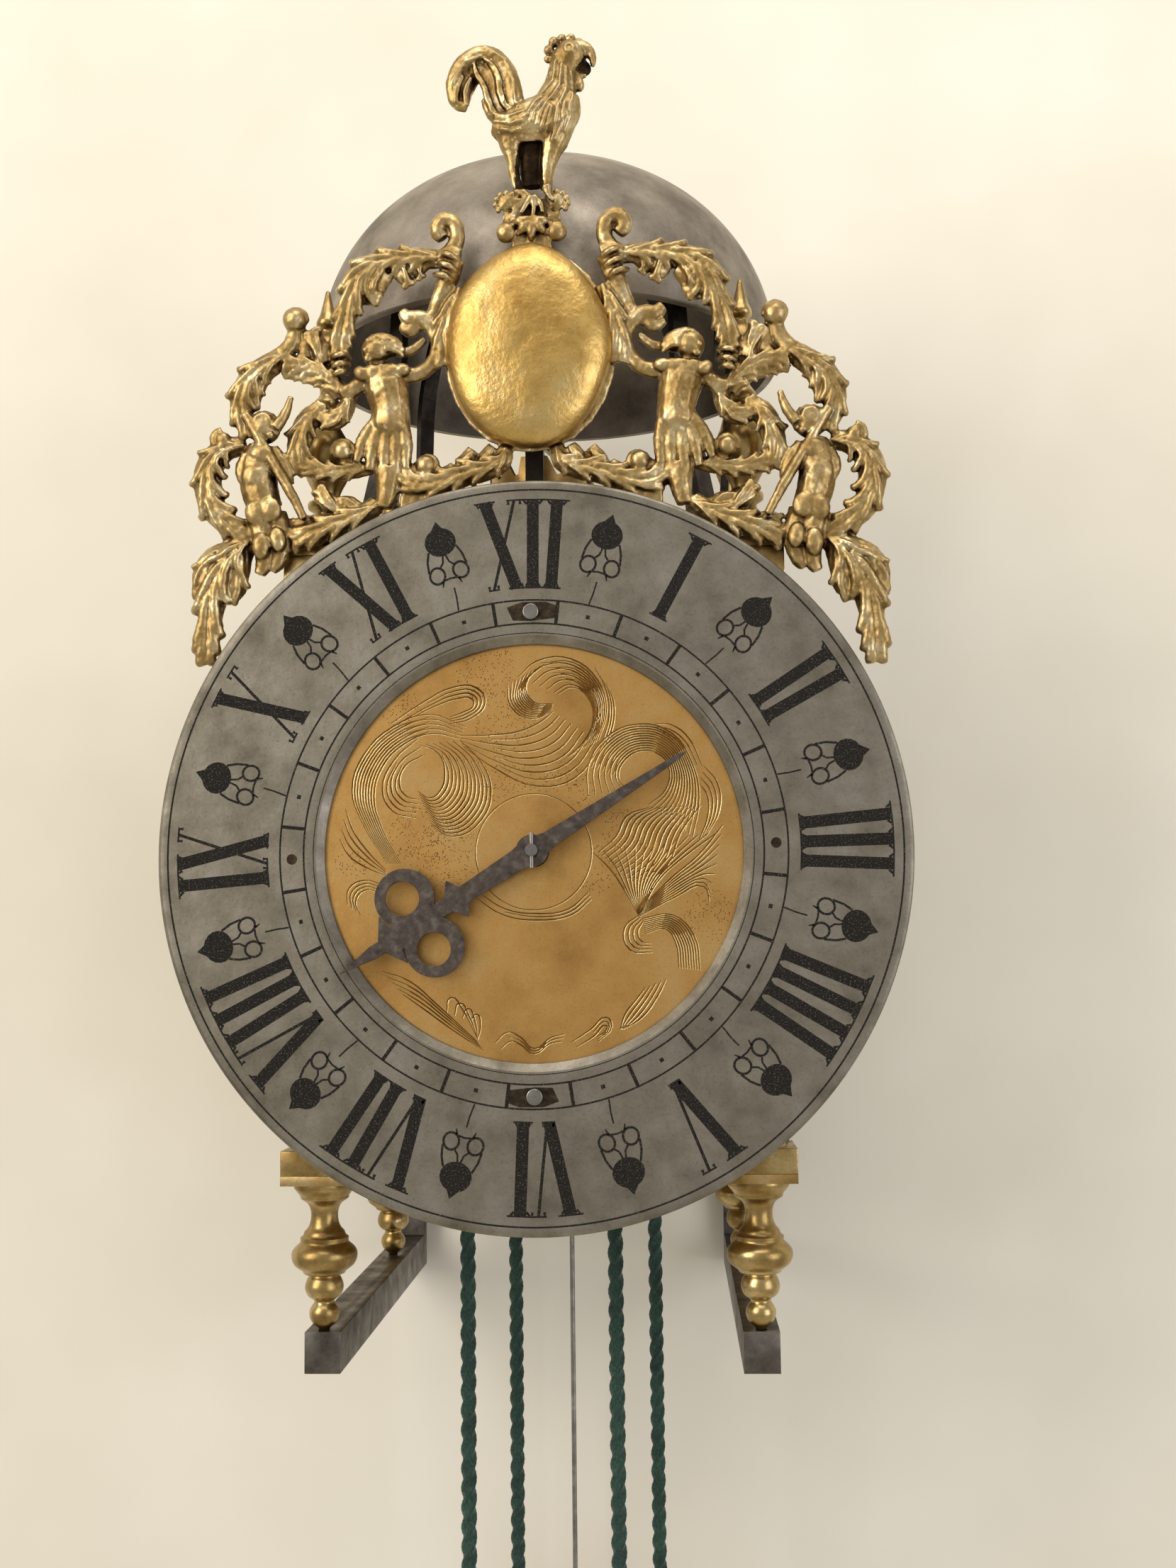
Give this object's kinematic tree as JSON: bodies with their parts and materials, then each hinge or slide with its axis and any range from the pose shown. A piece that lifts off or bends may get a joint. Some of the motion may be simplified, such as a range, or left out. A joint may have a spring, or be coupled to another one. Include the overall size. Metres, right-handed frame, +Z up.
{
  "type": "lantern clock",
  "caption": "Wall-hung lantern clock: square pillared brass frame, round dial with one hand, domed bell, pierced front fret with a cockerel, striking train and verge pendulum.",
  "frame": {"origin": "middle of the four screw holes of the wall brackets, on the wall plane", "axes": "+X to the right of the dial as it is read, +Y into the wall, +Z up"},
  "size_m": [0.24, 0.222, 0.623],
  "materials": {
    "brass": "polished, lightly aged",
    "engraved_brass": "engraved and matted",
    "gilt_brass": "cast, gilt, with dark recesses",
    "dial_pewter": "brushed, engraved and waxed black",
    "dark_iron": "dark, worn",
    "bright_steel": "filed",
    "bracket_steel": "filed, dark on top",
    "bell_bronze": "grey patina",
    "weight_pewter": "cast",
    "green_rope": "twisted"
  },
  "bodies": {
    "root": {"bracket_left": "bracket_steel", "bracket_right": "bracket_steel", "bottom_plate": "brass", "top_plate": "brass", "pillars": "brass", "foot_front_left": "brass", "foot_front_right": "brass", "foot_rear_left": "brass", "foot_rear_right": "brass", "finial_front_left": "brass", "finial_front_right": "brass", "finial_rear_left": "brass", "finial_rear_right": "brass", "dial_ring": "dial_pewter", "dial_centre": "engraved_brass", "dial_pins": "bright_steel", "front_plate": "dark_iron", "back_plate": "dark_iron", "fret_left": "gilt_brass", "fret_right": "gilt_brass", "fret_screws": "bright_steel", "cartouche": "gilt_brass", "cockerel": "gilt_brass", "bell_stand": "dark_iron", "bell": "bell_bronze", "bell_nut": "brass", "front_bar": "dark_iron", "middle_bar": "dark_iron", "rear_bar": "dark_iron", "escapement_cocks": "dark_iron", "hour_stud": "bright_steel", "hand_pin": "bright_steel", "hammer_spring": "bright_steel", "rope_going_left": "green_rope", "rope_going_right": "green_rope", "rope_strike_left": "green_rope", "rope_strike_right": "green_rope", "weight_hooks": "dark_iron", "rope_rings": "weight_pewter"},
    "great": {"great_wheel": "brass", "going_pulley": "brass"},
    "second": {"second_wheel": "brass"},
    "contrate": {"contrate_wheel": "brass"},
    "crown": {"crown_wheel": "brass"},
    "hour": {"hour_wheel": "brass", "hour_hand": "dark_iron"},
    "strike_great": {"strike_great_wheel": "brass", "strike_pulley": "brass"},
    "hoop": {"hoop_wheel": "brass"},
    "warning": {"warning_wheel": "brass"},
    "fly": {"fly": "brass"},
    "count": {"count_wheel": "brass"},
    "pendulum": {"verge": "bright_steel", "pendulum_bob": "brass"},
    "hammer": {"hammer": "dark_iron"},
    "detent": {"strike_detent": "bright_steel"},
    "lifting": {"lifting_lever": "bright_steel"},
    "left_door": {"left_door": "brass"},
    "right_door": {"right_door": "brass"}
  },
  "joints": [
    {"name": "great_spin", "type": "hinge", "parent": "root", "child": "great", "pos_m": [-0.0024, -0.152, 0.07389], "axis": [0, 1, 0], "continuous": true},
    {"name": "second_spin", "type": "hinge", "parent": "root", "child": "second", "pos_m": [0, -0.177, 0.11319], "axis": [0, 1, 0], "continuous": true},
    {"name": "contrate_spin", "type": "hinge", "parent": "root", "child": "contrate", "pos_m": [0, -0.149, 0.14179], "axis": [0, 1, 0], "continuous": true},
    {"name": "crown_spin", "type": "hinge", "parent": "root", "child": "crown", "pos_m": [0, -0.1582, 0.235], "axis": [0, 0, 1], "continuous": true},
    {"name": "hour_spin", "type": "hinge", "parent": "root", "child": "hour", "pos_m": [0, -0.2, 0.105], "axis": [0, 1, 0], "continuous": true},
    {"name": "strike_great_spin", "type": "hinge", "parent": "root", "child": "strike_great", "pos_m": [0.0092, -0.103, 0.07389], "axis": [0, 1, 0], "continuous": true},
    {"name": "hoop_spin", "type": "hinge", "parent": "root", "child": "hoop", "pos_m": [0.0092, -0.119, 0.11289], "axis": [0, 1, 0], "continuous": true},
    {"name": "warning_spin", "type": "hinge", "parent": "root", "child": "warning", "pos_m": [0.0092, -0.095, 0.14089], "axis": [0, 1, 0], "continuous": true},
    {"name": "fly_spin", "type": "hinge", "parent": "root", "child": "fly", "pos_m": [0.0092, -0.08, 0.16609], "axis": [0, 1, 0], "continuous": true},
    {"name": "count_spin", "type": "hinge", "parent": "root", "child": "count", "pos_m": [0.0092, -0.056, 0.10089], "axis": [0, 1, 0], "continuous": true},
    {"name": "pendulum_swing", "type": "hinge", "parent": "root", "child": "pendulum", "pos_m": [0, -0.02, 0.2493], "axis": [0, 1, 0], "range_deg": [-4, 4]},
    {"name": "hammer_swing", "type": "hinge", "parent": "root", "child": "hammer", "pos_m": [0.058, -0.1177, 0.1], "axis": [0, 1, 0], "range_deg": [-8, 0], "stiffness_Nm_per_rad": 0.3, "springref_deg": 1.15},
    {"name": "detent_lift", "type": "hinge", "parent": "root", "child": "detent", "pos_m": [-0.044, -0.116, 0.12], "axis": [0, 1, 0], "range_deg": [-10, 0]},
    {"name": "lever_lift", "type": "hinge", "parent": "root", "child": "lifting", "pos_m": [-0.044, -0.198, 0.096], "axis": [0, 1, 0], "range_deg": [-10, 0]},
    {"name": "left_door_hinge", "type": "hinge", "parent": "root", "child": "left_door", "pos_m": [-0.079, -0.071, 0.105], "axis": [0, 0, 1], "range_deg": [-100, 0]},
    {"name": "right_door_hinge", "type": "hinge", "parent": "root", "child": "right_door", "pos_m": [0.079, -0.071, 0.105], "axis": [0, 0, 1], "range_deg": [0, 100]}
  ],
  "couplings": [
    {"joint": "second_spin", "follows": "great_spin", "ratio": -8},
    {"joint": "contrate_spin", "follows": "great_spin", "ratio": 44},
    {"joint": "crown_spin", "follows": "great_spin", "ratio": -176},
    {"joint": "hour_spin", "follows": "great_spin", "ratio": -0.083333},
    {"joint": "hoop_spin", "follows": "strike_great_spin", "ratio": -12},
    {"joint": "warning_spin", "follows": "strike_great_spin", "ratio": 72},
    {"joint": "fly_spin", "follows": "strike_great_spin", "ratio": -432},
    {"joint": "count_spin", "follows": "strike_great_spin", "ratio": -0.15385}
  ]
}
